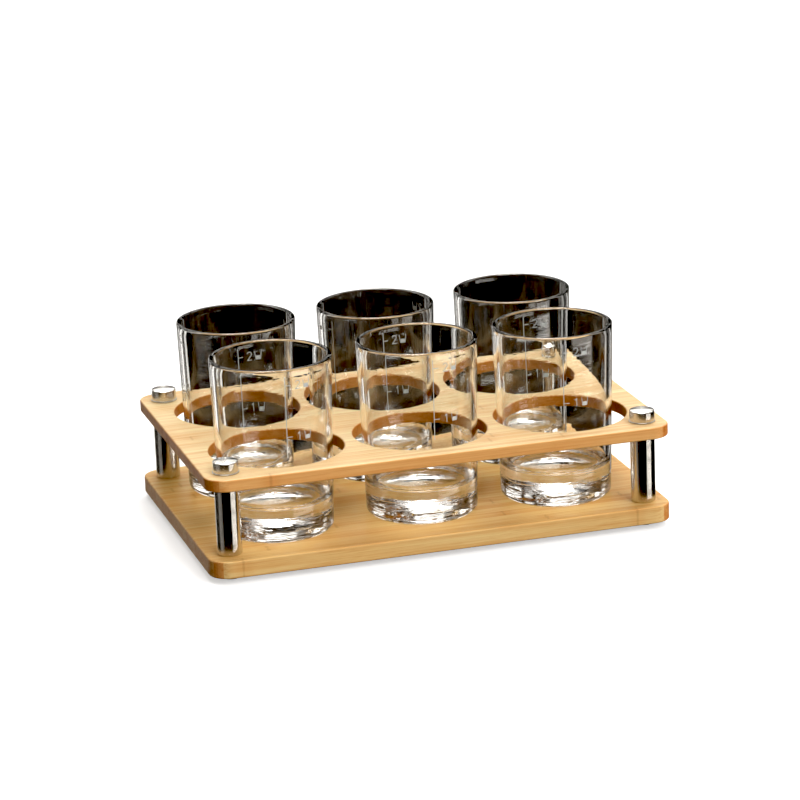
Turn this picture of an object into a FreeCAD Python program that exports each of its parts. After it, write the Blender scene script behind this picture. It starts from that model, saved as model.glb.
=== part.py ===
import FreeCAD, Part
import math
import os

import Sketcher

# A two-deck bamboo rack on four stainless standoffs, with six thick-bottomed tumblers.
# X runs along the rack's length, Y from its front to its back and Z up. The origin is on the
# surface the rack stands on, below the middle of the rack. All sizes are in millimetres.

SIZES = {
    # Boards
    "board_length": 230.0,
    "board_width": 156.0,
    "corner_radius": 10.0,
    "edge_round": 0.8,
    "base_thickness": 8.5,
    "upper_thickness": 6.0,
    # Grid of tumbler holes
    "pitch_x": 71.5,
    "pitch_y": 71.5,
    "hole_diameter": 65.0,
    # Standoffs and what clamps the boards to them
    "post_x": 103.5,
    "post_y": 65.0,
    "post_diameter": 12.0,
    "post_length": 34.0,
    "post_chamfer": 0.4,
    "thread_diameter": 4.0,
    "thread_gap": 0.1,
    "thread_depth": 12.0,
    "clearance_diameter": 4.5,
    "washer_diameter": 13.0,
    "washer_thickness": 0.6,
    "cap_diameter": 12.2,
    "cap_height": 5.2,
    "cap_edge_round": 0.6,
    "cap_dome": 0.5,
    "stud_length": 15.0,
    "screw_head_diameter": 7.6,
    "screw_head_height": 2.2,
    "screw_head_bevel": 0.8,
    "screw_shank_length": 14.0,
    "socket_across_flats": 2.5,
    "socket_depth": 1.3,
    "counterbore_diameter": 8.4,
    "counterbore_depth": 2.6,
    "foot_diameter": 10.0,
    "foot_height": 3.0,
    "foot_round": 0.6,
    # Tumblers
    "glass_height": 86.0,
    "rim_radius": 29.3,
    "heel_radius": 27.0,
    "wall": 2.6,
    "rim_wall": 2.4,
    "floor_thickness": 15.3,
    "heel_round": 3.0,
    "floor_round": 5.0,
    "rim_round": 1.08,
    "punt_radius": 20.0,
    "punt_height": 0.9,
    # How far two of the tumblers stand from the middle of their holes
    "shift_front_left": -1.0,
    "shift_front_right": -2.8,
}

CORNERS = {
    "front_left": (-1, -1),
    "front_right": (1, -1),
    "back_left": (-1, 1),
    "back_right": (1, 1),
}
COLUMNS = {"left": -1, "middle": 0, "right": 1}
ROWS = {"front": -1, "back": 1}

# Smallest share of a piece's volume that a cut must take, and how near two lengths count as equal
LEAST_CUT = 1e-6
LENGTH_TOLERANCE = 1e-4

# Where a crowned edge is first drawn from, and its first radius on a cap's dome and in a
# tumbler's punt. Its constraints then move it.
CROWN_START_ANGLE = math.radians(80)
DOME_START_RADIUS = 40.0
PUNT_START_RADIUS = 200.0

doc = FreeCAD.newDocument("tasting_rack")
sheet = doc.addObject("Spreadsheet::Sheet", "Sheet")
for row, (alias, value) in enumerate(SIZES.items(), start=1):
    sheet.set(f"A{row}", alias)
    sheet.set(f"B{row}", str(value))
    sheet.setAlias(f"B{row}", alias)
doc.recompute()

sub_parts = []


def new_body(name):
    """Make an empty body that is written out as one sub-part."""
    body = doc.addObject("PartDesign::Body", name)
    body.Label = name
    sub_parts.append(body)
    return body


def place(body, x="0", y="0", z="0"):
    """Bind the body's position to the sheet."""
    for axis, expression in zip("xyz", (x, y, z)):
        body.setExpression(f"Placement.Base.{axis}", expression)


def new_sketch(body, name, plane="XY_Plane", height=None):
    """Attach a sketch to one of the body's own origin planes, raised by height."""
    origin_plane = next(p for p in body.Origin.OriginFeatures if p.Role == plane)
    sketch = body.newObject("Sketcher::SketchObject", name)
    sketch.AttachmentSupport = [(origin_plane, "")]
    sketch.MapMode = "FlatFace"
    if height:
        sketch.setExpression("AttachmentOffset.Base.z", height)
    return sketch


def pin_point(sketch, geometry, point, x, y):
    """Hold a point of the sketch at x, y. None puts it on the axis there."""
    if x is None:
        sketch.addConstraint(Sketcher.Constraint("PointOnObject", geometry, point, -2))
    else:
        index = sketch.addConstraint(Sketcher.Constraint("DistanceX", -1, 1, geometry, point, 1.0))
        sketch.setExpression(f"Constraints[{index}]", x)
    if y is None:
        sketch.addConstraint(Sketcher.Constraint("PointOnObject", geometry, point, -1))
    else:
        index = sketch.addConstraint(Sketcher.Constraint("DistanceY", -1, 1, geometry, point, 1.0))
        sketch.setExpression(f"Constraints[{index}]", y)


def add_circle(sketch, x, y, diameter):
    """Draw one circle with its centre at x, y."""
    circle = Part.Circle(FreeCAD.Vector(0, 0, 0), FreeCAD.Vector(0, 0, 1), 1.0)
    geometry = sketch.addGeometry(circle, False)
    pin_point(sketch, geometry, 3, x, y)
    index = sketch.addConstraint(Sketcher.Constraint("Diameter", geometry, 2.0))
    sketch.setExpression(f"Constraints[{index}]", diameter)


def add_outline(sketch, corners, crown=None):
    """Draw a closed outline through corners given as x, y expressions.

    The edge numbered crown is an arc instead of a line. Its centre is on the Z axis, some way
    below it, and crown_radius is near its radius. It runs from the axis, or to it.
    """
    crown_edge, crown_radius = crown or (None, None)
    count = len(corners)
    for edge in range(count):
        if edge == crown_edge:
            centre = FreeCAD.Vector(0, -crown_radius, 0)
            circle = Part.Circle(centre, FreeCAD.Vector(0, 0, 1), crown_radius)
            sketch.addGeometry(Part.ArcOfCircle(circle, CROWN_START_ANGLE, math.pi / 2), False)
            sketch.addConstraint(Sketcher.Constraint("PointOnObject", edge, 3, -2))
        else:
            start = FreeCAD.Vector(edge, edge * edge, 0)
            following = (edge + 1) % count
            end = FreeCAD.Vector(following, following * following, 0)
            sketch.addGeometry(Part.LineSegment(start, end), False)

    def end_point(edge, is_last):
        """Name an edge's first or last point. An arc always ends on the axis."""
        if edge == crown_edge and corners[edge][0] is None:
            is_last = not is_last
        return 2 if is_last else 1

    for edge, (x, y) in enumerate(corners):
        previous = (edge - 1) % count
        sketch.addConstraint(Sketcher.Constraint(
            "Coincident", previous, end_point(previous, True), edge, end_point(edge, False)))
        pin_point(sketch, edge, end_point(edge, False), x, y)


def pad(body, sketch, name, length):
    feature = body.newObject("PartDesign::Pad", name)
    feature.Profile = sketch
    feature.setExpression("Length", length)
    doc.recompute()
    return feature


def pocket(body, sketch, name, length, upwards=False):
    """Cut a pocket and check that it took material away."""
    volume = body.Shape.Volume
    feature = body.newObject("PartDesign::Pocket", name)
    feature.Profile = sketch
    feature.Reversed = upwards
    feature.setExpression("Length", length)
    doc.recompute()
    if body.Shape.Volume > volume * (1 - LEAST_CUT):
        raise RuntimeError(f"{body.Label}: {name} cuts nothing")
    return feature


def revolve(body, sketch, name):
    """Turn a half outline drawn in the XZ plane about the Z axis."""
    feature = body.newObject("PartDesign::Revolution", name)
    feature.Profile = sketch
    feature.ReferenceAxis = (sketch, ["V_Axis"])
    feature.Angle = 360.0
    doc.recompute()
    return feature


def dress(body, kind, name, size_property, size, wanted):
    """Fillet or chamfer the edges of the body for which wanted(edge) is true."""
    base = body.Tip
    names = [f"Edge{i}" for i, edge in enumerate(base.Shape.Edges, start=1)
             if not edge.Degenerated and wanted(edge)]
    if not names:
        raise RuntimeError(f"{body.Label}: {name} finds no edge")
    feature = body.newObject(kind, name)
    feature.Base = (base, names)
    feature.setExpression(size_property, size)
    doc.recompute()
    return feature


def fillet(body, name, radius, wanted):
    return dress(body, "PartDesign::Fillet", name, "Radius", radius, wanted)


def chamfer(body, name, size, wanted):
    return dress(body, "PartDesign::Chamfer", name, "Size", size, wanted)


def at_height(edge, height):
    """Tell whether the whole edge lies at this height."""
    box = edge.BoundBox
    return abs(box.ZMin - height) < LENGTH_TOLERANCE and abs(box.ZMax - height) < LENGTH_TOLERANCE


def is_circle(edge, radius):
    curve = edge.Curve
    return isinstance(curve, Part.Circle) and abs(curve.Radius - radius) < LENGTH_TOLERANCE


def is_upright(edge):
    box = edge.BoundBox
    return box.XLength < LENGTH_TOLERANCE and box.YLength < LENGTH_TOLERANCE


def rounded_board(name, thickness, height):
    """Make a plain board with rounded corners, lying at height."""
    body = new_body(name)
    place(body, z=height)
    outline = new_sketch(body, name + "_outline")
    half_length = "Sheet.board_length / 2"
    half_width = "Sheet.board_width / 2"
    add_outline(outline, [
        ("-" + half_length, "-" + half_width),
        (half_length, "-" + half_width),
        (half_length, half_width),
        ("-" + half_length, half_width),
    ])
    pad(body, outline, name + "_blank", thickness)
    fillet(body, name + "_corners", "Sheet.corner_radius", is_upright)
    return body


def grid_sketch(body, name, diameter):
    """Draw the six circles of the tumbler grid."""
    sketch = new_sketch(body, name)
    for row in ROWS.values():
        for column in COLUMNS.values():
            x = f"{column} * Sheet.pitch_x" if column else None
            add_circle(sketch, x, f"{row} * Sheet.pitch_y / 2", diameter)
    return sketch


def corner_sketch(body, name, diameter):
    """Draw the four circles on the standoff axes."""
    sketch = new_sketch(body, name)
    for x_side, y_side in CORNERS.values():
        add_circle(sketch, f"{x_side} * Sheet.post_x", f"{y_side} * Sheet.post_y", diameter)
    return sketch


def round_outer_edges(body, name, thickness):
    """Break the board's top and bottom edges, and the edges of its large round openings."""
    small = SIZES["counterbore_diameter"]

    def wanted(edge):
        if not (at_height(edge, 0.0) or at_height(edge, thickness)):
            return False
        box = edge.BoundBox
        on_small_hole = isinstance(edge.Curve, Part.Circle) and 2 * edge.Curve.Radius <= small
        return not on_small_hole and max(box.XLength, box.YLength) > LENGTH_TOLERANCE

    fillet(body, name, "Sheet.edge_round", wanted)


def make_base_board():
    """Base board: plain on top, with four counterbored screw holes from below."""
    body = rounded_board("base_board", "Sheet.base_thickness", "Sheet.foot_height")
    counterbores = corner_sketch(body, "counterbore_circles", "Sheet.counterbore_diameter")
    pocket(body, counterbores, "counterbores", "Sheet.counterbore_depth", upwards=True)
    screw_holes = corner_sketch(body, "screw_hole_circles", "Sheet.clearance_diameter")
    pocket(body, screw_holes, "screw_holes", "Sheet.base_thickness", upwards=True)
    round_outer_edges(body, "base_edges", SIZES["base_thickness"])


def make_upper_board():
    """Upper board: six holes that keep the tumblers in their places, and four stud holes."""
    height = "Sheet.foot_height + Sheet.base_thickness + Sheet.post_length"
    body = rounded_board("upper_board", "Sheet.upper_thickness", height)
    holes = grid_sketch(body, "tumbler_circles", "Sheet.hole_diameter")
    pocket(body, holes, "tumbler_holes", "Sheet.upper_thickness", upwards=True)
    stud_holes = corner_sketch(body, "stud_hole_circles", "Sheet.clearance_diameter")
    pocket(body, stud_holes, "stud_holes", "Sheet.upper_thickness", upwards=True)
    round_outer_edges(body, "upper_edges", SIZES["upper_thickness"])


def corner_place(body, corner, height):
    x_side, y_side = CORNERS[corner]
    place(body, f"{x_side} * Sheet.post_x", f"{y_side} * Sheet.post_y", height)


def make_foot(corner):
    """Rubber pad that covers the base screw."""
    body = new_body("foot_" + corner)
    corner_place(body, corner, "0")
    disc = new_sketch(body, "foot_disc_" + corner)
    add_circle(disc, None, None, "Sheet.foot_diameter")
    pad(body, disc, "foot_pad_" + corner, "Sheet.foot_height")
    fillet(body, "foot_edge_" + corner, "Sheet.foot_round", lambda edge: at_height(edge, 0.0))


def make_base_screw(corner):
    """Button-head screw with a hexagon socket, driven upwards from the counterbore."""
    body = new_body("base_screw_" + corner)
    head_seat = "Sheet.foot_height + Sheet.counterbore_depth - Sheet.screw_head_height"
    corner_place(body, corner, head_seat)
    outline = new_sketch(body, "screw_outline_" + corner, "XZ_Plane")
    head = "Sheet.screw_head_diameter / 2"
    shank = "Sheet.thread_diameter / 2"
    tip = "Sheet.screw_head_height + Sheet.screw_shank_length"
    add_outline(outline, [
        (None, None),
        (head + " - Sheet.screw_head_bevel", None),
        (head, "Sheet.screw_head_bevel"),
        (head, "Sheet.screw_head_height"),
        (shank, "Sheet.screw_head_height"),
        (shank, tip),
        (None, tip),
    ])
    revolve(body, outline, "screw_blank_" + corner)
    socket = new_sketch(body, "socket_hexagon_" + corner)
    flat = "Sheet.socket_across_flats / 2"
    point = "Sheet.socket_across_flats / cos(30) / 2"
    add_outline(socket, [
        (point, None),
        (point + " / 2", flat),
        ("-" + point + " / 2", flat),
        ("-" + point, None),
        ("-" + point + " / 2", "-" + flat),
        (point + " / 2", "-" + flat),
    ])
    pocket(body, socket, "socket_" + corner, "Sheet.socket_depth", upwards=True)


def make_standoff(corner):
    """Turned barrel with a threaded hole in each end."""
    body = new_body("standoff_" + corner)
    corner_place(body, corner, "Sheet.foot_height + Sheet.base_thickness")
    section = new_sketch(body, "barrel_circle_" + corner)
    add_circle(section, None, None, "Sheet.post_diameter")
    pad(body, section, "barrel_" + corner, "Sheet.post_length")
    bore = "Sheet.thread_diameter + 2 * Sheet.thread_gap"
    lower = new_sketch(body, "lower_thread_circle_" + corner)
    add_circle(lower, None, None, bore)
    pocket(body, lower, "lower_thread_" + corner, "Sheet.thread_depth", upwards=True)
    upper = new_sketch(body, "upper_thread_circle_" + corner, height="Sheet.post_length")
    add_circle(upper, None, None, bore)
    pocket(body, upper, "upper_thread_" + corner, "Sheet.thread_depth")
    radius = SIZES["post_diameter"] / 2
    chamfer(body, "barrel_ends_" + corner, "Sheet.post_chamfer", lambda edge: is_circle(edge, radius))


def make_washer(corner):
    """Thin washer between the upper board and the cap."""
    body = new_body("washer_" + corner)
    upper_top = "Sheet.foot_height + Sheet.base_thickness + Sheet.post_length + Sheet.upper_thickness"
    corner_place(body, corner, upper_top)
    ring = new_sketch(body, "washer_ring_" + corner)
    add_circle(ring, None, None, "Sheet.washer_diameter")
    add_circle(ring, None, None, "Sheet.clearance_diameter")
    pad(body, ring, "washer_blank_" + corner, "Sheet.washer_thickness")


def make_cap(corner):
    """Round cap with a low dome, turned in one piece with its threaded stud."""
    body = new_body("cap_" + corner)
    cap_seat = ("Sheet.foot_height + Sheet.base_thickness + Sheet.post_length"
                " + Sheet.upper_thickness + Sheet.washer_thickness")
    corner_place(body, corner, cap_seat + " - Sheet.stud_length")
    outline = new_sketch(body, "cap_outline_" + corner, "XZ_Plane")
    stud = "Sheet.thread_diameter / 2"
    head = "Sheet.cap_diameter / 2"
    rim_height = "Sheet.stud_length + Sheet.cap_height"
    dome_edge = 4
    add_outline(outline, [
        (None, None),
        (stud, None),
        (stud, "Sheet.stud_length"),
        (head, "Sheet.stud_length"),
        (head, rim_height),
        (None, rim_height + " + Sheet.cap_dome"),
    ], crown=(dome_edge, DOME_START_RADIUS))
    revolve(body, outline, "cap_blank_" + corner)
    radius = SIZES["cap_diameter"] / 2
    top = SIZES["stud_length"] + SIZES["cap_height"]
    fillet(body, "cap_edge_" + corner, "Sheet.cap_edge_round",
           lambda edge: is_circle(edge, radius) and at_height(edge, top))


def make_glass(row, column):
    """Tumbler: tapered wall, thick solid bottom, rounded heel and a shallow punt below."""
    place_name = f"{row}_{column}"
    body = new_body("glass_" + place_name)
    x = f"{COLUMNS[column]} * Sheet.pitch_x"
    if "shift_" + place_name in SIZES:
        x += " + Sheet.shift_" + place_name
    y = f"{ROWS[row]} * Sheet.pitch_y / 2"
    place(body, x, y, "Sheet.foot_height + Sheet.base_thickness")
    outline = new_sketch(body, "glass_outline_" + place_name, "XZ_Plane")
    taper = "(Sheet.rim_radius - Sheet.heel_radius) / Sheet.glass_height"
    floor_radius = f"Sheet.heel_radius + {taper} * Sheet.floor_thickness - Sheet.wall"
    punt_edge = 0
    add_outline(outline, [
        (None, "Sheet.punt_height"),
        ("Sheet.punt_radius", None),
        ("Sheet.heel_radius", None),
        ("Sheet.rim_radius", "Sheet.glass_height"),
        ("Sheet.rim_radius - Sheet.rim_wall", "Sheet.glass_height"),
        (floor_radius, "Sheet.floor_thickness"),
        (None, "Sheet.floor_thickness"),
    ], crown=(punt_edge, PUNT_START_RADIUS))
    revolve(body, outline, "glass_blank_" + place_name)
    heel = SIZES["heel_radius"]
    fillet(body, "heel_" + place_name, "Sheet.heel_round",
           lambda edge: is_circle(edge, heel) and at_height(edge, 0.0))
    floor_height = SIZES["floor_thickness"]
    fillet(body, "floor_" + place_name, "Sheet.floor_round",
           lambda edge: isinstance(edge.Curve, Part.Circle) and at_height(edge, floor_height))
    rim_height = SIZES["glass_height"]
    fillet(body, "rim_" + place_name, "Sheet.rim_round",
           lambda edge: isinstance(edge.Curve, Part.Circle) and at_height(edge, rim_height))


make_base_board()
make_upper_board()
for corner in CORNERS:
    make_foot(corner)
    make_base_screw(corner)
    make_standoff(corner)
    make_washer(corner)
    make_cap(corner)
for row in ROWS:
    for column in COLUMNS:
        make_glass(row, column)
doc.recompute()

for item in doc.Objects:
    if "Invalid" in item.State or "Error" in item.State:
        raise RuntimeError(f"{item.Label}: {item.State}")
for body in sub_parts:
    if body.Shape.isNull() or not body.Shape.isValid() or len(body.Shape.Solids) != 1:
        raise RuntimeError(f"{body.Label}: not one valid solid")

os.makedirs("parts", exist_ok=True)
for body in sub_parts:
    body.Shape.exportStep(f"parts/{body.Label}.step")
    box = body.Shape.BoundBox
    print(f"{body.Label}: z {box.ZMin:.2f} to {box.ZMax:.2f}, {body.Shape.Volume / 1000:.2f} cm3")
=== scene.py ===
"""The looks of the tasting rack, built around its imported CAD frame. Lengths are in metres."""

import math

import bpy
from mathutils import Matrix, Vector


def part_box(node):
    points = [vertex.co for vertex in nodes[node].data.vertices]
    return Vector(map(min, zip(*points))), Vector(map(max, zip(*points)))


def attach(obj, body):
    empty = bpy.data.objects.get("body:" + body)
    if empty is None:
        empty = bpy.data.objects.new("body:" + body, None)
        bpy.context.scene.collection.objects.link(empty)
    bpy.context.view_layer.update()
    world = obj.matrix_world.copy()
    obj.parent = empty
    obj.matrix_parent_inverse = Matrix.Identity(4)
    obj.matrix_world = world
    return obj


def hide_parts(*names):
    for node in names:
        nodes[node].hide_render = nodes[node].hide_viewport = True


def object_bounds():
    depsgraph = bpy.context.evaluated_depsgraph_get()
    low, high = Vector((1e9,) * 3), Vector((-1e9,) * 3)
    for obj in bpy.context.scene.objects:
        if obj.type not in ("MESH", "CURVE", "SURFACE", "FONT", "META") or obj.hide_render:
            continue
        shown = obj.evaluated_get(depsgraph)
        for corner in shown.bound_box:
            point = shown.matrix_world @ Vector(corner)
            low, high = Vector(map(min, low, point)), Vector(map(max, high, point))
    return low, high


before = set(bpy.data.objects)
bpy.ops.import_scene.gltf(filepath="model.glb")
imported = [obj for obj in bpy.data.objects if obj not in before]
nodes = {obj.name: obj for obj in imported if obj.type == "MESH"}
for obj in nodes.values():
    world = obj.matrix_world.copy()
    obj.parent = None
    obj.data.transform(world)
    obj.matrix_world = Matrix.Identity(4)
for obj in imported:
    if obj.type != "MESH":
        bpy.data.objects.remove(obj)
cad_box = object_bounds()
scene = bpy.context.scene

MM = 0.001
CORNERS = ("front_left", "front_right", "back_left", "back_right")
TUMBLERS = tuple(f"{row}_{column}" for row in ("front", "back") for column in ("left", "middle", "right"))


# ---------------------------------------------------------------- node trees

class Graph:
    """A node tree built by short calls. Any value may be a number, a tuple or another node's output."""

    def __init__(self, tree):
        self.tree = tree
        tree.nodes.clear()

    def node(self, kind, values=None, **settings):
        made = self.tree.nodes.new("ShaderNode" + kind)
        for name, value in settings.items():
            setattr(made, name, value)
        for socket, value in (values or {}).items():
            self.put(made.inputs[socket], value)
        return made

    def put(self, socket, value):
        if isinstance(value, bpy.types.NodeSocket):
            self.tree.links.new(value, socket)
        else:
            socket.default_value = value

    def math(self, operation, a, b=0.0):
        return self.node("Math", {0: a, 1: b}, operation=operation).outputs[0]

    def times(self, a, b):
        return self.math("MULTIPLY", a, b)

    def vector(self, operation, a, b=(0.0, 0.0, 0.0), scale=1.0):
        return self.node("VectorMath", {0: a, 1: b, 3: scale}, operation=operation).outputs["Vector"]

    def step(self, value, low, high, out_low=0.0, out_high=1.0):
        """Smooth step from out_low at low to out_high at high."""
        made = self.node("MapRange", {"Value": value, "From Min": low, "From Max": high,
                                      "To Min": out_low, "To Max": out_high},
                         interpolation_type="SMOOTHSTEP")
        return made.outputs["Result"]

    def ramp(self, value, low, high, out_low, out_high):
        made = self.node("MapRange", {"Value": value, "From Min": low, "From Max": high,
                                      "To Min": out_low, "To Max": out_high})
        return made.outputs["Result"]

    def mix(self, factor, a, b, blend="MIX"):
        made = self.node("Mix", data_type="RGBA", blend_type=blend)
        self.put(made.inputs[0], factor)
        self.put(made.inputs[6], a)
        self.put(made.inputs[7], b)
        return made.outputs[2]

    def noise(self, vector, scale=1.0, detail=3.0, roughness=0.5, distortion=0.0):
        return self.node("TexNoise", {"Vector": vector, "Scale": scale, "Detail": detail,
                                      "Roughness": roughness, "Distortion": distortion}).outputs["Fac"]

    def combine(self, x, y, z):
        return self.node("CombineXYZ", {0: x, 1: y, 2: z}).outputs[0]

    def split(self, vector):
        return self.node("SeparateXYZ", {0: vector}).outputs

    def place_mm(self):
        """The object's own coordinates, in millimetres."""
        return self.vector("SCALE", self.node("TexCoord").outputs["Object"], scale=1000.0)

    def bump(self, height, distance, strength):
        made = self.node("Bump", {"Height": height, "Distance": distance, "Strength": strength})
        return made.outputs["Normal"]


def new_material(name):
    material = bpy.data.materials.new(name)
    material.use_nodes = True
    return material, Graph(material.node_tree)


def surface(graph, shader):
    graph.node("OutputMaterial", {"Surface": shader})


def colour(red, green, blue):
    """A linear colour from the three numbers of an sRGB one."""
    linear = [c / 12.92 if c <= 0.04045 else ((c + 0.055) / 1.055) ** 2.4
              for c in (red / 255, green / 255, blue / 255)]
    return (*linear, 1.0)


# ----------------------------------------------------------------- materials

def bamboo(name, seed, strip_width, pale, mid, edge):
    """Strips of bamboo laid along X, with long fibres, nodes across the strips, darker end grain and painted
    shade on the walls of its holes.
    """
    material, g = new_material(name)
    place = g.vector("ADD", g.place_mm(), (0.0, 0.35 * strip_width, 0.0))
    x, y, z = g.split(place)
    wander = g.noise(g.combine(g.times(x, 0.012), g.times(y, 0.02), seed), detail=2.0)
    y_bent = g.math("ADD", y, g.ramp(wander, 0.0, 1.0, -1.2, 1.2))
    strip = g.math("DIVIDE", y, strip_width)
    strip_number = g.math("ADD", g.math("FLOOR", strip), seed)
    in_strip = g.math("FRACT", strip)
    strip_random = g.node("TexWhiteNoise", {"W": strip_number}, noise_dimensions="1D")
    tone = strip_random.outputs["Value"]
    hue = g.split(strip_random.outputs["Color"])[1]

    # Fibres: long streaks whose cross-section is seen as dots on the end faces
    own_y = g.math("ADD", y_bent, g.times(tone, 37.0))
    coarse = g.noise(g.combine(g.times(x, 0.006), g.times(own_y, 0.35), g.times(z, 0.30)), roughness=0.55)
    fibre = g.noise(g.combine(g.times(x, 0.02), g.times(own_y, 1.5), g.times(z, 1.5)),
                    detail=4.0, roughness=0.62)
    hair = g.noise(g.combine(g.times(x, 0.10), g.times(own_y, 5.5), g.times(z, 5.5)), detail=2.0)
    cloud = g.noise(g.combine(g.times(x, 0.010), g.times(y, 0.05), seed + 4.0), detail=2.0)

    # Nodes: this far apart along each strip, starting at a place of its own
    spacing = 196.0
    along = g.math("FRACT", g.math("ADD", g.math("DIVIDE", x, spacing), g.times(hue, 5.3)))
    from_node = g.times(g.math("ABSOLUTE", g.math("SUBTRACT", along, 0.5)), spacing)
    ripple = g.ramp(g.noise(g.combine(0.0, own_y, z), scale=0.5, detail=1.0), 0.0, 1.0, -0.8, 0.8)
    from_node = g.math("ABSOLUTE", g.math("ADD", from_node, ripple))
    node_line = g.step(from_node, 0.15, 0.95, 1.0, 0.0)
    node_zone = g.step(from_node, 1.0, 7.0, 1.0, 0.0)

    # Seams between strips
    from_seam = g.times(g.math("MINIMUM", in_strip, g.math("SUBTRACT", 1.0, in_strip)), strip_width)
    seam = g.step(from_seam, 0.03, 0.20, 1.0, 0.0)

    # Which way the surface faces, and whether it is a wall inside the board, as in a hole
    normal = g.split(g.node("NewGeometry").outputs["Normal"])
    flat = g.step(g.math("ABSOLUTE", normal[2]), 0.45, 0.95)
    end = g.step(g.math("ABSOLUTE", normal[0]), 0.55, 0.95)
    half_x, half_y = (cad_box[1] - cad_box[0]).x * 500.0, (cad_box[1] - cad_box[0]).y * 500.0
    inside = g.times(g.math("LESS_THAN", g.math("ABSOLUTE", x), half_x - 1.5),
                     g.math("LESS_THAN", g.math("ABSOLUTE", y), half_y - 3.5))
    hole_wall = g.times(inside, g.math("SUBTRACT", 1.0, flat))

    # Flat faces take the pale colour and sides the mid one. The upper board's much paler top is partly its
    # own lighter face and partly painted sheen of the light on it
    base = g.mix(flat, mid, pale)
    # Painted shade: walls of holes inside the board are darkened most of the way to the end-grain colour
    base = g.mix(g.times(hole_wall, 0.75), base, edge)
    base = g.mix(g.times(end, 0.45), base, edge)
    base = g.mix(g.ramp(tone, 0.0, 1.0, 0.0, 0.20), base, colour(228, 178, 104), "MULTIPLY")
    base = g.mix(g.ramp(hue, 0.0, 1.0, 0.0, 0.10), base, colour(244, 196, 128))
    base = g.mix(g.step(coarse, 0.35, 0.75, 0.0, 0.42), base, colour(226, 166, 92), "MULTIPLY")
    base = g.mix(g.step(fibre, 0.42, 0.72, 0.0, 0.38), base, colour(214, 152, 82), "MULTIPLY")
    base = g.mix(g.step(hair, 0.50, 0.78, 0.0, 0.24), base, colour(196, 138, 76), "MULTIPLY")
    base = g.mix(g.step(cloud, 0.40, 0.75, 0.0, 0.26), base, colour(230, 180, 112), "MULTIPLY")
    base = g.mix(g.times(node_zone, 0.16), base, colour(214, 154, 86), "MULTIPLY")
    base = g.mix(g.times(node_line, 0.22), base, colour(160, 106, 54), "MULTIPLY")
    base = g.mix(g.times(seam, 0.22), base, colour(180, 122, 62), "MULTIPLY")

    height = g.math("ADD", g.times(fibre, 0.6), g.times(hair, 0.4))
    height = g.math("SUBTRACT", height, g.times(seam, 0.5))
    height = g.math("ADD", height, g.times(node_line, 0.7))
    rough = g.ramp(g.math("ADD", fibre, g.times(hole_wall, 0.25)), 0.25, 1.0, 0.36, 0.60)
    shader = g.node("BsdfPrincipled", {
        "Base Color": base,
        "Roughness": rough,
        "Specular IOR Level": 0.25,
        "Coat Weight": 0.08,
        "Coat Roughness": 0.22,
        "Normal": g.bump(height, 0.00003, 0.5),
    })
    surface(g, shader.outputs[0])
    return material


def turned_steel(name, tint, roughness, faced, turned, lines):
    """Stainless steel with fine turning lines that run round the piece's own axis.

    faced is the roughness of its flat ends.
    """
    material, g = new_material(name)
    x, y, z = g.split(g.place_mm())
    radius = g.math("SQRT", g.math("ADD", g.times(x, x), g.times(y, y)))
    rings = g.noise(g.combine(radius, 0.0, z), scale=7.0, detail=4.0, roughness=0.7)
    coarse = g.noise(g.combine(g.times(radius, 0.7), 3.0, g.times(z, 0.35)), detail=2.0)
    smudge = g.noise(g.place_mm(), scale=0.16, detail=3.0, distortion=0.6)
    end = g.step(g.math("ABSOLUTE", g.split(g.node("NewGeometry").outputs["Normal"])[2]), 0.80, 0.97)
    uneven = g.math("ADD", g.ramp(rings, 0.3, 0.7, 0.85, 1.15), g.step(smudge, 0.45, 0.75, 0.0, 0.35))
    rough = g.times(g.step(end, 0.0, 1.0, roughness, faced), uneven)
    base = g.mix(g.step(coarse, 0.35, 0.7, 0.0, 0.25), tint, tuple(0.86 * c for c in tint[:3]) + (1.0,))
    shader = g.node("BsdfPrincipled", {
        "Base Color": base,
        "Metallic": 1.0,
        "Roughness": rough,
        "Anisotropic": turned,
        "Anisotropic Rotation": 0.25,
        "Tangent": g.node("Tangent", direction_type="RADIAL", axis="Z").outputs[0],
        "Normal": g.bump(rings, lines, 0.2),
    })
    surface(g, shader.outputs[0])
    return material


def clear_glass(name):
    """Pressed soda glass: clear, faintly wavy where it is thick. Lamps shine through it."""
    material, g = new_material(name)
    place = g.place_mm()
    x, y, z = g.split(place)
    swell = g.noise(place, scale=0.07, detail=1.5, roughness=0.4)
    lap = g.noise(g.combine(g.times(x, 0.06), g.times(y, 0.06), g.times(z, 0.34)), detail=2.0, distortion=0.6)
    wave = g.math("ADD", g.times(swell, 0.55), g.times(lap, 0.45))
    thick = g.times(g.step(z, 7.0, 19.0, 1.0, 0.04), g.step(z, 0.8, 3.0, 0.35, 1.0))
    shader = g.node("BsdfPrincipled", {
        "Base Color": g.mix(wave, (0.985, 0.995, 0.99, 1.0), (1.0, 1.0, 1.0, 1.0)),
        "Roughness": 0.0,
        "IOR": 1.52,
        "Transmission Weight": 1.0,
        "Specular Tint": (0.7, 0.7, 0.7, 1.0),
        "Normal": g.bump(g.times(wave, thick), 0.0019, 0.5),
    })
    lamp_light = g.node("BsdfTransparent", {"Color": (0.90, 0.92, 0.91, 1.0)})
    both = g.node("MixShader", {0: g.node("LightPath").outputs["Is Shadow Ray"]})
    g.put(both.inputs[1], shader.outputs[0])
    g.put(both.inputs[2], lamp_light.outputs[0])
    surface(g, both.outputs[0])
    return material


def enamel(name):
    """Screen-printed marks: matt, pale, slightly broken where the ink lies thin."""
    material, g = new_material(name)
    speck = g.noise(g.place_mm(), scale=3.2, detail=3.0, roughness=0.7)
    shader = g.node("BsdfPrincipled", {
        "Base Color": g.mix(g.step(speck, 0.35, 0.62), colour(184, 186, 184), colour(222, 223, 220)),
        "Roughness": g.ramp(speck, 0.2, 0.8, 0.45, 0.7),
        "Normal": g.bump(speck, 0.00001, 0.4),
    })
    surface(g, shader.outputs[0])
    return material


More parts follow.
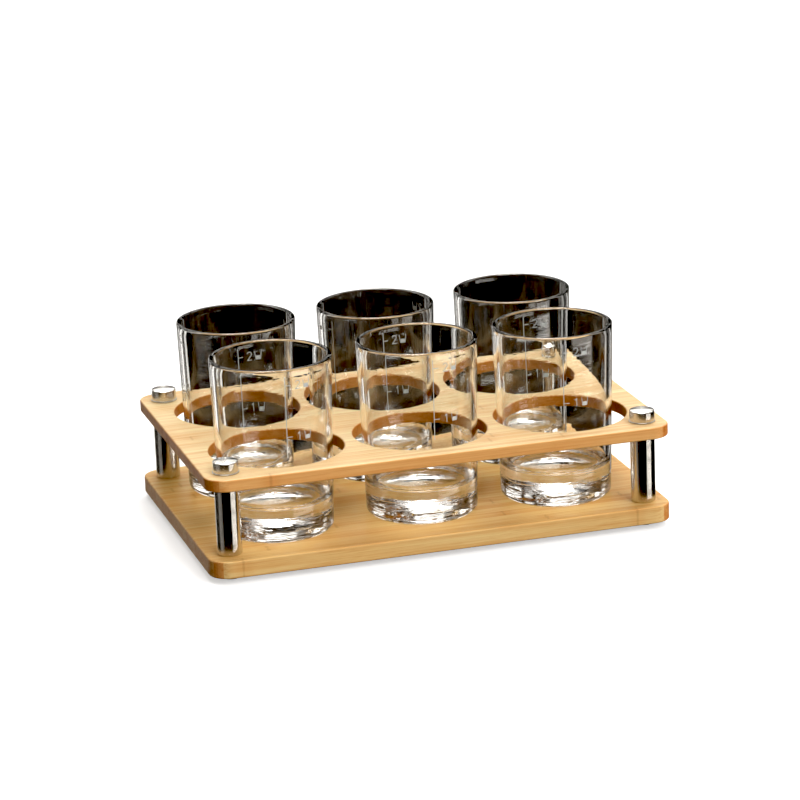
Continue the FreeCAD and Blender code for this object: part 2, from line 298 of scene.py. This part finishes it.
def rubber(name):
    material, g = new_material(name)
    grain = g.noise(g.place_mm(), scale=2.4, detail=4.0, roughness=0.7)
    shader = g.node("BsdfPrincipled", {
        "Base Color": g.mix(grain, colour(30, 29, 28), colour(54, 52, 50)),
        "Roughness": g.ramp(grain, 0.2, 0.8, 0.7, 0.9),
        "Specular IOR Level": 0.3,
        "Normal": g.bump(grain, 0.00004, 0.6),
    })
    surface(g, shader.outputs[0])
    return material


# -------------------------------------------------------------------- meshes

def rounded(corners, steps):
    """Points along a polyline of (radius, height, rounding) corners, each rounded by an arc."""
    points = []
    for i, (r, z, rounding) in enumerate(corners):
        here = Vector((r, z))
        if not rounding or i in (0, len(corners) - 1):
            points.append(here)
            continue
        before = (Vector(corners[i - 1][:2]) - here).normalized()
        after = (Vector(corners[i + 1][:2]) - here).normalized()
        half = before.angle(after) / 2
        bisector = (before + after).normalized()
        centre = here + bisector * (rounding / math.sin(half))
        start = here + before * (rounding / math.tan(half)) - centre
        sweep = start.angle_signed(here + after * (rounding / math.tan(half)) - centre)
        for k in range(steps + 1):
            turn = -sweep * k / steps
            points.append(centre + Vector((start.x * math.cos(turn) - start.y * math.sin(turn),
                                           start.x * math.sin(turn) + start.y * math.cos(turn))))
    return points


def divided(points, longest):
    """The same line with no stretch longer than this."""
    out = [points[0]]
    for a, b in zip(points, points[1:]):
        count = max(1, math.ceil((b - a).length / longest))
        out += [a.lerp(b, k / count) for k in range(1, count + 1)]
    return out


def lathe(name, outline, segments, at, closed=False):
    """Turn an outline of (radius, height) points in metres about the Z axis through at."""
    angles = [2 * math.pi * k / segments for k in range(segments)]
    vertices, rings = [], []
    for r, z in outline:
        if r < 1e-7:
            rings.append([len(vertices)])
            vertices.append((0.0, 0.0, z))
        else:
            rings.append(range(len(vertices), len(vertices) + segments))
            vertices += [(r * math.cos(a), r * math.sin(a), z) for a in angles]
    faces = []
    pairs = list(zip(rings, rings[1:])) + ([(rings[-1], rings[0])] if closed else [])
    for a, b in pairs:
        for k in range(segments):
            n = (k + 1) % segments
            if len(a) == 1 and len(b) == 1:
                continue
            if len(a) == 1:
                faces.append((a[0], b[n], b[k]))
            elif len(b) == 1:
                faces.append((a[k], a[n], b[0]))
            else:
                faces.append((a[k], a[n], b[n], b[k]))
    mesh = bpy.data.meshes.new(name)
    mesh.from_pydata(vertices, [], faces)
    mesh.validate()
    mesh.shade_smooth()
    piece = bpy.data.objects.new(name, mesh)
    piece.location = at
    scene.collection.objects.link(piece)
    return piece


def dress(piece, material, body, stands_for=(), slot=None):
    piece.data.materials.append(material)
    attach(piece, body)
    if stands_for:
        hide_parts(*stands_for)


def middle(node):
    """The middle of a node's underside, and its height."""
    low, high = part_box(node)
    return Vector(((low.x + high.x) / 2, (low.y + high.y) / 2, low.z)), high.z - low.z


# ------------------------------------------------------------------ tumblers

HEEL_RADIUS, RIM_RADIUS = 27.0 * MM, 29.3 * MM
GLASS_HEIGHT = 86.0 * MM
WALL, RIM_WALL = 2.6 * MM, 2.4 * MM
FLOOR = 15.3 * MM
PUNT_RADIUS, PUNT_HEIGHT = 20.0 * MM, 0.9 * MM
# The corners that the hollow below the bottom curves past, as (radius, height, rounding)
PUNT_CURVE = ((8.0 * MM, 0.76 * MM, 60.0 * MM), (14.0 * MM, 0.45 * MM, 60.0 * MM))
HEEL_ROUND, FLOOR_ROUND, RIM_ROUND = 3.0 * MM, 5.0 * MM, 1.08 * MM
# The heel stands this far above the board, so that no two faces lie in one plane
CLEAR = 0.04 * MM


def wall_radius(height):
    return HEEL_RADIUS + (RIM_RADIUS - HEEL_RADIUS) * height / GLASS_HEIGHT


def tumbler(place_name, glass):
    at, height = middle("glass_" + place_name)
    inner_floor = wall_radius(FLOOR) - WALL
    corners = [
        (0.0, PUNT_HEIGHT, 0.0),
        *PUNT_CURVE,
        (PUNT_RADIUS, CLEAR, 6.0 * MM),
        (HEEL_RADIUS, CLEAR, HEEL_ROUND),
        (RIM_RADIUS, height, RIM_ROUND),
        (RIM_RADIUS - RIM_WALL, height, RIM_ROUND),
        (inner_floor, FLOOR, FLOOR_ROUND),
        (0.0, FLOOR, 0.0),
    ]
    outline = divided(rounded(corners, 12), 3.0 * MM)
    piece = lathe("tumbler_" + place_name, outline, 144, at)
    dress(piece, glass, "tumbler_" + place_name, ["glass_" + place_name], "tumbler_glass")
    return at


# The marks of a tumbler in millimetres: an upright line with two ticks, each followed by a figure and a cup
LINE_LOW, LINE_HIGH, LINE_WIDTH = 43.0, 82.5, 0.34
TICKS = ((53.0, "1"), (78.3, "2"))
TICK_LENGTH, FIGURE_AT, CUP_AT = 2.8, 5.0, 10.8
HALF_FIGURE = 2.0
INK, CUP_INK, DRINK_WIDTH = 0.33, 0.264, 2.1
# How far the ink reaches into the wall and out of it, and the angle from one group of marks to the other
INK_DEPTH, INK_RELIEF = 0.03 * MM, 0.05 * MM
BETWEEN_GROUPS = 200.0


def arc(cx, cy, rx, ry, start, end, count=10):
    angles = [math.radians(start + (end - start) * k / count) for k in range(count + 1)]
    return [(cx + rx * math.cos(a), cy + ry * math.sin(a)) for a in angles]


GLYPHS = {
    "1": [[(0.55, 3.1), (1.45, 4.0), (1.45, 0.0)]],
    "2": [arc(1.3, 2.9, 1.15, 1.1, 165, -35) + [(0.2, 0.0), (2.5, 0.0)]],
}
CUP, DRINK = [(-1.7, 4.0), (-1.2, 0.1), (1.2, 0.1), (1.7, 4.0)], [(0.0, 0.1), (0.0, 1.9)]


def ribbon(points, width):
    """A flat band of quads along a polyline, as (left, right) pairs with mitred corners."""
    line = [Vector(p) for p in points]
    fine = divided(line, 0.8)
    pairs = []
    for i, p in enumerate(fine):
        a = (p - fine[i - 1]).normalized() if i else None
        b = (fine[i + 1] - p).normalized() if i < len(fine) - 1 else None
        if a is None or b is None:
            side = Vector((-(a or b).y, (a or b).x)) * (width / 2)
        else:
            bend = (a + b).normalized()
            side = Vector((-bend.y, bend.x)) * (width / 2 / max(0.45, bend.dot(a)))
        pairs.append((p + side, p - side))
    return pairs


def print_marks(place_name, at, turn, ink):
    """Two groups of marks, on nearly opposite sides of the tumbler, laid on the outside of the wall.

    turn is the azimuth of the first group's line. The second group is printed to be read through
    the glass, so it runs the other way round.
    """
    bands = []
    for start, way in ((turn, 1.0), (turn + BETWEEN_GROUPS, -1.0)):
        shapes = [([(0.0, LINE_LOW), (0.0, LINE_HIGH)], LINE_WIDTH)]
        for height, figure in TICKS:
            foot = height - HALF_FIGURE
            shapes.append(([(0.0, height), (TICK_LENGTH, height)], INK))
            for stroke in GLYPHS[figure]:
                shapes.append(([(FIGURE_AT + s, foot + h) for s, h in stroke], INK))
            for stroke, width in ((CUP, CUP_INK), (DRINK, DRINK_WIDTH)):
                shapes.append(([(CUP_AT + s, foot + h) for s, h in stroke], width))
        bands += [(ribbon(points, width), start, way) for points, width in shapes]

    vertices, faces = [], []
    for pairs, start, way in bands:
        first = len(vertices)
        for left, right in pairs:
            for s, h in (left, right):
                radius = wall_radius(h * MM)
                angle = math.radians(start) + way * s * MM / radius
                for r in (radius - INK_DEPTH, radius + INK_RELIEF):
                    vertices.append((r * math.sin(angle), -r * math.cos(angle), h * MM))
        for k in range(len(pairs) - 1):
            li, lo, ri, ro = (first + 4 * k + j for j in range(4))
            li2, lo2, ri2, ro2 = (v + 4 for v in (li, lo, ri, ro))
            sides = [(lo, lo2, ro2, ro), (li, ri, ri2, li2), (li, li2, lo2, lo), (ri, ro, ro2, ri2)]
            faces += [tuple(reversed(f)) if way < 0 else f for f in sides]
        last = first + 4 * (len(pairs) - 1)
        ends = [(first, first + 1, first + 3, first + 2), (last, last + 2, last + 3, last + 1)]
        faces += [tuple(reversed(f)) if way < 0 else f for f in ends]
    mesh = bpy.data.meshes.new("marks_" + place_name)
    mesh.from_pydata(vertices, [], faces)
    mesh.validate()
    piece = bpy.data.objects.new("marks_" + place_name, mesh)
    piece.location = at
    scene.collection.objects.link(piece)
    dress(piece, ink, "tumbler_" + place_name)


# ------------------------------------------------------------------ hardware

BARREL_RADIUS, BARREL_CHAMFER = 6.0 * MM, 0.45 * MM
BORE_RADIUS, BORE_DEPTH = 2.1 * MM, 12.0 * MM
STUD_RADIUS, STUD_LENGTH, STUD_CHAMFER = 2.0 * MM, 15.0 * MM, 0.3 * MM
HEAD_RADIUS, HEAD_SIDE, HEAD_ROUND, DOME = 6.1 * MM, 5.2 * MM, 0.6 * MM, 0.5 * MM
WASHER_RADIUS, WASHER_BORE = 6.5 * MM, 2.25 * MM


def turn_steel(name, outline, at, steel, node, closed=False):
    """A turned steel piece of the rack, with crisp edges, that stands for a CAD node."""
    piece = lathe(name, outline, 96, at, closed)
    piece.data.set_sharp_from_angle(angle=math.radians(40))
    dress(piece, steel, "rack", [node], node.split("_")[0] + "_steel")


def barrel(corner, steel):
    at, height = middle("standoff_" + corner)
    shoulder = BARREL_RADIUS - BARREL_CHAMFER
    corners = [
        (0.0, BORE_DEPTH, 0.0), (BORE_RADIUS, BORE_DEPTH, 0.0), (BORE_RADIUS, 0.0, 0.0),
        (shoulder, 0.0, 0.10 * MM), (BARREL_RADIUS, BARREL_CHAMFER, 0.18 * MM),
        (BARREL_RADIUS, height - BARREL_CHAMFER, 0.18 * MM), (shoulder, height, 0.10 * MM),
        (BORE_RADIUS, height, 0.0), (BORE_RADIUS, height - BORE_DEPTH, 0.0), (0.0, height - BORE_DEPTH, 0.0),
    ]
    turn_steel("barrel_" + corner, divided(rounded(corners, 4), 6.0 * MM), at, steel, "standoff_" + corner)


def cap(corner, steel):
    at = middle("cap_" + corner)[0]
    edge = STUD_LENGTH + HEAD_SIDE
    dome = [Vector((HEAD_RADIUS * k / 16, edge + DOME * (1 - (k / 16) ** 2))) for k in range(15)]
    shoulder = rounded([
        (STUD_RADIUS, STUD_LENGTH, 0.0), (HEAD_RADIUS, STUD_LENGTH, 0.12 * MM),
        (HEAD_RADIUS, edge - 0.15 * MM, HEAD_ROUND), (dome[-1].x, dome[-1].y, 0.0)], 8)
    tip = [Vector((0.0, 0.0)), Vector((STUD_RADIUS - STUD_CHAMFER, 0.0)), Vector((STUD_RADIUS, STUD_CHAMFER))]
    outline = tip + shoulder[:-1] + list(reversed(dome))
    turn_steel("turned_cap_" + corner, divided(outline, 3.0 * MM), at, steel, "cap_" + corner)


def washer(corner, steel):
    at, height = middle("washer_" + corner)
    corners = [
        (WASHER_BORE, 0.0, 0.08 * MM), (WASHER_RADIUS, 0.0, 0.15 * MM),
        (WASHER_RADIUS, height, 0.15 * MM), (WASHER_BORE, height, 0.08 * MM)]
    ring = [corners[-1]] + corners + [corners[0]]
    turn_steel("flat_washer_" + corner, rounded(ring, 4)[1:-1], at, steel, "washer_" + corner, closed=True)


# --------------------------------------------------------------------- build

glass = clear_glass("tumbler_glass_look")
ink = enamel("scale_enamel")
# Azimuth of each tumbler's first scale line: 0 faces the front, 90 the right
TURNS = {"front_left": -1.0, "front_middle": -1.5, "front_right": -8.7,
         "back_left": 82.0, "back_middle": 97.0, "back_right": 74.0}
for place_name in TUMBLERS:
    at = tumbler(place_name, glass)
    print_marks(place_name, at, TURNS[place_name], ink)

barrel_steel = turned_steel("barrel_steel_look", (0.72, 0.69, 0.64, 1.0), 0.20, 0.30, 0.85, 0.0000003)
cap_steel = turned_steel("cap_steel_look", (0.76, 0.74, 0.71, 1.0), 0.20, 0.18, 0.95, 0.0000006)
washer_steel = turned_steel("washer_steel_look", (0.60, 0.58, 0.55, 1.0), 0.24, 0.30, 0.60, 0.000006)
screw_steel = turned_steel("screw_steel_look", (0.55, 0.54, 0.53, 1.0), 0.32, 0.32, 0.0, 0.000006)
foot_rubber = rubber("foot_rubber_look")
for corner in CORNERS:
    barrel(corner, barrel_steel)
    cap(corner, cap_steel)
    washer(corner, washer_steel)

# The upper board's top colour holds painted sheen of the light that falls on it
PALE_WITH_PAINTED_SHEEN = colour(249, 230, 184)
HONEY = colour(247, 194, 130)
# The darker colour of the end grain, also painted onto the walls of the holes as their shade
END_GRAIN_AND_HOLE_SHADE = colour(222, 148, 84)
looks = {
    "upper_board": bamboo("upper_bamboo_look", 3.0, 6.6, PALE_WITH_PAINTED_SHEEN, HONEY, END_GRAIN_AND_HOLE_SHADE),
    "base_board": bamboo("base_bamboo_look", 41.0, 6.6, colour(247, 212, 146), colour(247, 216, 154), END_GRAIN_AND_HOLE_SHADE),
}
for corner in CORNERS:
    looks["foot_" + corner] = foot_rubber
    looks["base_screw_" + corner] = screw_steel
for name, material in looks.items():
    piece = nodes[name]
    piece.data.materials.clear()
    piece.data.materials.append(material)


# --------------------------------------------------------------------- stage

def floor():
    """Pale, slightly glowing paper. Mirrors, glass and scattered light don't meet it."""
    material, g = new_material("floor_paper")
    grain = g.noise(g.place_mm(), scale=0.02, detail=4.0)
    shader = g.node("BsdfPrincipled", {
        "Base Color": g.mix(grain, (0.86, 0.86, 0.86, 1.0), (0.88, 0.88, 0.88, 1.0)),
        "Roughness": 0.85, "Specular IOR Level": 0.1,
        "Emission Color": (1.0, 1.0, 1.0, 1.0), "Emission Strength": 0.5})
    surface(g, shader.outputs[0])
    half = 14.0
    corners = [(-half, -half, 0), (half, -half, 0), (half, half, 0), (-half, half, 0)]
    mesh = bpy.data.meshes.new("floor")
    mesh.from_pydata(corners, [], [(0, 1, 2, 3)])
    mesh.materials.append(material)
    piece = bpy.data.objects.new("floor", mesh)
    piece.visible_diffuse = False
    piece.visible_glossy = False
    piece.visible_transmission = False
    scene.collection.objects.link(piece)


def upward(elevation):
    """How far upward a unit vector at this elevation in degrees points."""
    return math.sin(math.radians(elevation))


def surroundings():
    """A dark studio with white cards, as mirrors and glass see it.

    The camera itself sees pale paper, and scattered light meets an even, soft glow.
    """
    world = bpy.data.worlds.new("studio")
    scene.world = world
    world.use_nodes = True
    # The cards are only met by mirrored and refracted rays. They are not lamps
    world.cycles.sampling_method = "NONE"
    g = Graph(world.node_tree)
    direction = g.node("TexCoord").outputs["Generated"]
    x, y, z = g.split(direction)
    level = g.math("SQRT", g.math("ADD", g.times(x, x), g.times(y, y)))
    level = g.math("MAXIMUM", level, 0.0001)

    def card(azimuth, half_width, low, high, soft, sharp, strength):
        """A white card, by its azimuth and elevations in degrees. Azimuth 0 is in front, 90 on the right.

        soft is the softness of its sides, sharp that of its upper and lower edges.
        """
        a = math.radians(azimuth)
        along = g.math("ADD", g.times(x, math.sin(a)), g.times(y, -math.cos(a)))
        outer, inner = math.radians(half_width + soft), math.radians(half_width - soft)
        wide = g.step(g.math("DIVIDE", along, level), math.cos(outer), math.cos(inner))
        above = g.step(z, upward(low - sharp), upward(low + sharp))
        below = g.step(z, upward(high - sharp), upward(high + sharp), 1.0, 0.0)
        return g.times(g.times(wide, g.times(above, below)), strength)

    total = 0.0
    for lowest, strength in CEILING:
        total = g.math("ADD", total, g.step(z, upward(lowest - 3.0), upward(lowest + 3.0), 0.0, strength))
    for row in CARDS:
        total = g.math("ADD", total, card(*row))
    curtain = g.noise(g.vector("MULTIPLY", direction, (14.0, 14.0, 0.8)), detail=3.0, roughness=0.6)
    light = g.node("LightPath")
    seen = g.node("Background", {"Color": (1.0, 1.0, 1.0, 1.0), "Strength": 1.0})
    lit = g.node("Background", {"Color": (1.0, 0.93, 0.82, 1.0),
                                "Strength": g.step(z, -0.25, 0.25, TABLE_LIGHT, SKY_LIGHT)})
    white = g.node("Background", {"Color": (1.0, 0.97, 0.92, 1.0), "Strength": total})
    dark = g.node("Background", {"Color": (1.0, 0.88, 0.78, 1.0),
                                 "Strength": g.step(curtain, 0.42, 0.75, 0.014, 0.034)})
    mirrored = g.node("AddShader", {0: white.outputs[0], 1: dark.outputs[0]})
    scattered = g.math("GREATER_THAN", light.outputs["Diffuse Depth"], 0.5)
    first = g.node("MixShader", {0: scattered, 1: mirrored.outputs[0], 2: lit.outputs[0]})
    second = g.node("MixShader", {0: light.outputs["Is Camera Ray"], 1: first.outputs[0], 2: seen.outputs[0]})
    g.node("OutputWorld", {"Surface": second.outputs[0]})


def lamp(name, azimuth, elevation, spread, strength):
    """A soft, even light that mirrors and glass don't see: azimuth 0 is in front, 90 on the right."""
    data = bpy.data.lights.new(name, "SUN")
    data.angle = math.radians(spread)
    data.energy = strength
    piece = bpy.data.objects.new(name, data)
    a, e = math.radians(azimuth), math.radians(elevation)
    away = Vector((math.sin(a) * math.cos(e), -math.cos(a) * math.cos(e), math.sin(e)))
    piece.rotation_euler = (-away).to_track_quat("-Z", "Y").to_euler()
    piece.visible_glossy = False
    piece.visible_transmission = False
    scene.collection.objects.link(piece)


# White cards: azimuth, half width, lowest, highest, softness of sides, of upper and lower edge, strength
CARDS = (
    (41.0, 22.0, -18.4, -14.4, 3.0, 0.4, 5.5),
    (-82.0, 18.0, -18.4, -14.4, 6.0, 0.4, 0.9),
    (200.0, 4.0, -50.0, 17.0, 1.0, 2.0, 1.6),
    (184.0, 2.5, -50.0, 17.0, 1.0, 2.0, 1.4),
    (140.0, 3.5, -50.0, 17.0, 1.5, 2.0, 1.0),
    (164.0, 15.0, 17.3, 34.0, 2.0, 0.4, 1.9),
    (118.0, 13.0, 17.3, 34.0, 2.0, 0.4, 1.8),
    (208.0, 10.0, 17.3, 34.0, 2.0, 0.4, 1.8),
    (242.0, 7.0, 17.3, 34.0, 2.0, 0.4, 1.6),
    (86.0, 7.0, 17.3, 34.0, 2.0, 0.4, 1.6),
    (165.0, 80.0, 36.0, 89.0, 3.0, 2.0, 2.6),
    (228.0, 58.0, -8.0, 8.0, 6.0, 2.0, 0.4),
)
# The white ceiling and the bright panel in its middle: lowest elevation all round, strength
CEILING = ((58.0, 1.6), (74.0, 14.0))
# The soft glow that scattered light meets, above and below
SKY_LIGHT, TABLE_LIGHT = 0.25, 0.06

floor()
surroundings()
lamp("overhead", 150.0, 68.0, 50.0, 2.05)
lamp("front", 30.0, 30.0, 60.0, 2.6)


# -------------------------------------------------------------------- camera

# The camera: azimuth, elevation and roll in degrees, the point it looks at and how far away that is
VIEW = (-15.865, 16.416, -2.207)
TARGET, DISTANCE = Vector((0.98, 0.0, 56.56)) * MM, 1.7305
SENSOR_WIDTH, FOCAL_LENGTH = 36.0, 158.28


def camera():
    azimuth, elevation, roll = (math.radians(a) for a in VIEW)
    forward = Vector((-math.sin(azimuth) * math.cos(elevation),
                      math.cos(azimuth) * math.cos(elevation), -math.sin(elevation)))
    right = forward.cross(Vector((0, 0, 1))).normalized()
    up = right.cross(forward)
    right, up = (right * math.cos(roll) + up * math.sin(roll), up * math.cos(roll) - right * math.sin(roll))
    data = bpy.data.cameras.new("camera")
    data.sensor_width, data.lens = SENSOR_WIDTH, FOCAL_LENGTH
    piece = bpy.data.objects.new("camera", data)
    axes = Matrix((right, up, -forward)).transposed().to_4x4()
    piece.matrix_world = Matrix.Translation(TARGET - forward * DISTANCE) @ axes
    scene.collection.objects.link(piece)
    scene.camera = piece


camera()
scene.view_settings.view_transform = "Standard"
# The darkest tones go to black
scene.view_settings.use_curve_mapping = True
scene.view_settings.curve_mapping.black_level = (0.026, 0.026, 0.026)
scene.view_settings.curve_mapping.update()
scene.cycles.max_bounces = 20
scene.cycles.transmission_bounces = 20
scene.cycles.glossy_bounces = 10
scene.cycles.diffuse_bounces = 4
scene.cycles.transparent_max_bounces = 24
scene.cycles.sample_clamp_indirect = 16.0
